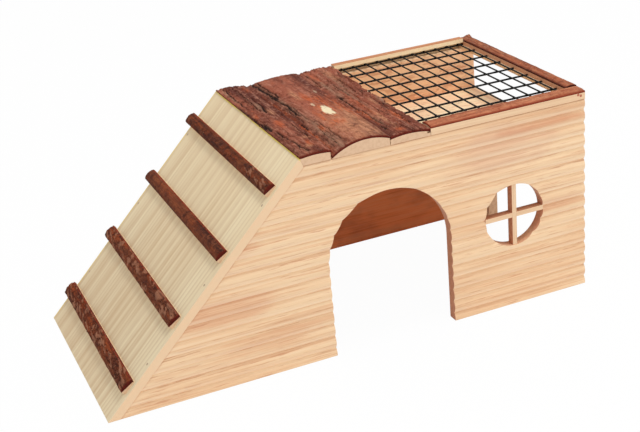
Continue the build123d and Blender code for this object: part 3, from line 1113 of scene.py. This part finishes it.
rungs = {
    "slope": 45,
    "woodHeights": (2.9, 0.7),
    "barkHeights": (3.6, 4.6, 2.3),
    "crown": 0.3,
    "toe": 0.3,
    "first": 26.4,
    "spacing": 52.9,
    "widths": (10.6, 10.0, 9.4, 9.2),
    "chips": (0.9, 1.0, 0.1, 0.8),
    "chipReach": (400, 400, 20, 44),  # from the front, 400 for the whole length
    "rough": (0.8, 0.7, 0.25, 0.6),
    "pitch": 0.4,
    "broad": (0.35, 0.09, 0.60),
    "middle": (1.1, 0.30, 0.35),
    "knots": (0.45, 0.16, 0.20),
    "knotHeight": 0.5,
    "fissures": {
        "wave": (0.55, 0.10, 0.12), "octaves": 3, "width": 0.045,
        "stretches": (0.3, 0.08), "share": 0.0, "gain": 3.0,
    },
    "fissureDepth": 0.5,
    "fissureDarkAndShade": 0.85,
    "flakes": (0.45, -0.11, 0.10),
    "flakeShare": (-0.42, 0.36),
    "flakeFade": (12, 0.5),  # millimetres before the reach, and how much
    "flakeSharp": 6.0,
    "flakeHeight": 0.35,
    "crevice": (0.07, 0.05),  # how far outside a flake, and its width
    "creviceDepth": 0.45,
    "creviceDarkAndShade": 0.75,
    "fresh": (0.2, 0.035, 1.3),
    "freshShare": 0.35,
    "freshTone": 0.95,
    "endDip": (0.5, 0.9),
    "edgeDip": (0.3, 0.8),
    "tanEdge": 1.0,
    "rim": 1.0,
}


def rungMarks(index, s, width, length):
    rough, chips, reach = s["rough"][index], s["chips"][index], s["chipReach"][index]
    least, gain = s["flakeShare"]
    outside, wide = s["crevice"]
    seed = index * 4.7 + 20

    def marks(t, y):
        x = t * width
        relief = rough * ridges(x, y, seed, s)
        relief += rough * s["knotHeight"] * max(0.0, drifting(x, y, seed + 7, s["knots"]))
        split = fissure(x, y, (seed + 9, seed + 2), s["fissures"])
        relief -= s["fissureDepth"] * rough * split
        ends = min(y, length - y)
        relief -= dip(ends, s["endDip"])
        relief -= dip(x, s["edgeDip"])
        # pale flakes stand up within the reach, each with a dark crevice round it
        fadeLength, fade = s["flakeFade"]
        gone = fade * (1 - unit((reach - y) / fadeLength))
        flaking = drifting(x, y, seed + 12, s["flakes"], 4) + least + chips * gain - gone
        chip = unit(flaking * s["flakeSharp"])
        relief += s["flakeHeight"] * rough * chip
        crevice = bell(flaking + outside, wide)
        relief -= s["creviceDepth"] * rough * crevice
        fresh = unit(s["freshShare"] + ripple(x, y, seed + 15, s["fresh"]))
        tones = {
            # the bark's own dark in fissures and round the flakes, with painted shade
            "crack": max(s["fissureDarkAndShade"] * split * (0.4 + rough), s["creviceDarkAndShade"] * rough * crevice),
            "chip": chip,
            "fresh": s["freshTone"] * rough * fresh,
            "tan": nearness(width - x, s["tanEdge"]),
            "rim": nearness(ends, s["rim"]),
        }
        return relief, tones

    return marks


def makeRung(index, s, finish):
    node = f"ramp_rung_{index + 1}_bark"
    low, high = [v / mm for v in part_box(node)]
    width, length = s["widths"][index], high.y - low.y
    slope = math.radians(s["slope"])
    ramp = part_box("ramp_board")[0]
    distance = s["first"] + index * s["spacing"]
    top = domed(width, s["barkHeights"], s["crown"], -width / 2)
    downSide, upSide = s["woodHeights"]

    def outer(t, u):
        return top(t)

    def inner(t, u):
        return Vector((width * (t - 0.5), downSide + (upSide - downSide) * t))

    def put(point, along):
        x = (distance + point.x) * math.cos(slope) - point.y * math.sin(slope)
        z = (distance + point.x) * math.sin(slope) + point.y * math.cos(slope)
        return Vector((ramp.x + (x - s["toe"]) * mm, (low.y + along) * mm, z * mm))

    size = sheet(node, finish, width, length, s["pitch"])
    shell(f"rungBark{index + 1}", size, outer, inner, put, rungMarks(index, s, width, length))


# battens round the mesh

battens = {
    "thick": 1.3,
    "front": {"heights": (6.1, 6.9, 6.3), "crown": 0.45, "tip": 0.0},
    "end": {"heights": (6.6, 7.3, 6.7), "crown": 0.6, "tip": 1.9},
    "tipReach": (4.5, 5.0),
    "pitch": 0.45,
    "broad": (0.4, 0.05, 0.30),
    "middle": (1.5, 0.16, 0.14),
    "fissures": {
        "wave": (0.7, 0.0, 0.05), "octaves": 3, "width": 0.03,
        "stretches": (0.3, 0.05), "share": 0.0, "gain": 2.5,
    },
    "fissureDepth": 0.3,
    "fissureDarkAndShade": 0.5,
    "tan": (0.5, 0.04, 0.8),
    "tanShare": 0.5,
    "grey": (0.7, 0.08, 1.3),
    "edgeDip": (0.35, 0.7),
    # the first side's edge is darker over this width and by this much, partly the bark's own rim and
    # partly painted shade
    "rimAndShadeWidth": 1.6,
    "rimAndShadeTone": 0.9,
    "rim": 0.9,
}


def battenMarks(seed, tip, width, length):
    skin = battens

    def marks(t, y):
        x = t * width
        split = fissure(x, y, (seed + 9, seed + 2), skin["fissures"])
        relief = ridges(x, y, seed, skin)
        relief -= skin["fissureDepth"] * split
        ends = min(y, length - y)
        relief -= dip(min(ends, x, width - x), skin["edgeDip"])
        tipAlong, tipAcross = skin["tipReach"]
        relief += tip * nearness(length - y, tipAlong) * nearness(width - x, tipAcross)
        tones = {
            # the bark's own dark in fissures, with painted shade
            "crack": skin["fissureDarkAndShade"] * split,
            "tan": skin["tanShare"] + ripple(x, y, seed + 5, skin["tan"]),
            "grey": max(0.0, ripple(x, y, seed + 6, skin["grey"])),
            # the first side's edge and the ends take the rim tone; on that edge it is partly painted
            # shade
            "rim": max(skin["rimAndShadeTone"] * nearness(x, skin["rimAndShadeWidth"]), nearness(ends, skin["rim"])),
        }
        return relief, tones

    return marks


def makeBatten(name, s, node, along, finish):
    # along is the axis the batten runs along, 0 for X and 1 for Y
    low, high = [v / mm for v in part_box(node)]
    across = 1 - along
    width, length = high[across] - low[across], high[along] - low[along]
    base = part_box("front_panel")[1].z / mm
    tops = [h + base for h in s["heights"]]
    wood = domed(width, [h - battens["thick"] for h in tops], s["crown"])
    top = domed(width, tops, s["crown"])

    def put(point, run):
        place = Vector((0, 0, point.y))
        place[across] = low[across] + point.x
        place[along] = low[along] + run
        return place * mm

    size = sheet(node, finish, width, length, battens["pitch"])
    marks = battenMarks(40 + along * 9, s["tip"], width, length)
    shell(name, size, lambda t, u: top(t), lambda t, u: wood(t), put, marks)


# welded wires of the mesh, coated black, in millimetres; pairs are for the wires along X and along
# Y, but for bend, sink and lump, which have their waves per millimetre and their size

wires = {
    "nodes": ("mesh_long_wires", "mesh_cross_wires"),
    "counts": (9, 11),
    "thick": (1.38, 1.22),
    "drop": (0.0, 0.12),
    "cadThick": 1.2,
    "sides": 10,
    "step": 1.5,
    "bend": (0.03, 0.14),
    "sink": (0.05, 0.07),
    "lump": (0.9, 0.03),
    "weld": 0.075,
    "weldReach": 1.3,
}


def wirePlaces(s, along):
    # where the wires of one layer lie on the axis that they cross
    across = 1 - along
    low, high = [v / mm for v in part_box(s["nodes"][along])]
    first, last = low[across] + s["cadThick"] / 2, high[across] - s["cadThick"] / 2
    count = s["counts"][along]
    return [first + (last - first) * wire / (count - 1) for wire in range(count)]


def makeWires(name, s, along, finish):
    # parallel wires that run along one axis, swollen where the other layer is welded on
    low, high = [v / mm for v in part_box(s["nodes"][along])]
    across = 1 - along
    crossings = wirePlaces(s, across)
    (bendWave, bend), (sinkWave, sink), (lumpWave, lump) = s["bend"], s["sink"], s["lump"]
    level = (low.z + high.z) / 2 - s["drop"][along]
    rows = int((high[along] - low[along]) / s["step"])
    bm = bmesh.new()
    for wire, side in enumerate(wirePlaces(s, along)):
        rings = []
        for row in range(rows + 1):
            run = low[along] + (high[along] - low[along]) * row / rows
            nearest = min(abs(run - crossing) for crossing in crossings)
            radius = s["thick"][along] / 2 + s["weld"] * bell(nearest, s["weldReach"])
            radius += lump * wobble(run * lumpWave, wire * 7.0, along)
            aside = bend * wobble(run * bendWave, wire * 3.0, along + 2.0)
            rise = sink * wobble(run * sinkWave, wire * 3.0, along + 5.0)
            ring = []
            for corner in range(s["sides"]):
                angle = 2 * math.pi * corner / s["sides"]
                place = Vector((0, 0, level + rise + radius * math.sin(angle)))
                place[across] = side + aside + radius * math.cos(angle)
                place[along] = run
                ring.append(bm.verts.new(place * mm))
            rings.append(ring)
        for a, b in zip(rings, rings[1:]):
            for corner in range(s["sides"]):
                after = (corner + 1) % s["sides"]
                bm.faces.new((a[corner], a[after], b[after], b[corner]))
        bm.faces.new(rings[0])
        bm.faces.new(rings[-1])
    bmesh.ops.recalc_face_normals(bm, faces=bm.faces)
    for face in bm.faces:
        face.smooth = len(face.verts) == 4
    obj = meshObject(name, bm, finish)
    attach(obj, "root")
    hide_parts(s["nodes"][along])


def main():
    bpy.context.scene.view_settings.view_transform = "Standard"
    makeCamera(camera)
    makeWorld(light)
    makeFloor(floor)
    print("wood and wire")
    wireFinish = makeCadFinishes()["blackWire"]
    print("bark of the roof slabs")
    slabFinish = bark("slabBark", barkTones)
    for number, s in slabs.items():
        makeSlab(number, s, slabFinish)
    print("bark of the rungs")
    rungFinish = bark("rungBark", rungTones)
    for index in range(len(rungs["widths"])):
        makeRung(index, rungs, rungFinish)
    print("bark of the battens")
    frontFinish = bark("frontBattenBark", battenTones)
    makeBatten("frontBattenBark", battens["front"], "front_batten_bark", 0, frontFinish)
    endFinish = bark("endBattenBark", endTones)
    makeBatten("endBattenBark", battens["end"], "end_batten_bark", 1, endFinish)
    print("wires of the mesh")
    makeWires("longWires", wires, 0, wireFinish)
    makeWires("crossWires", wires, 1, wireFinish)


main()
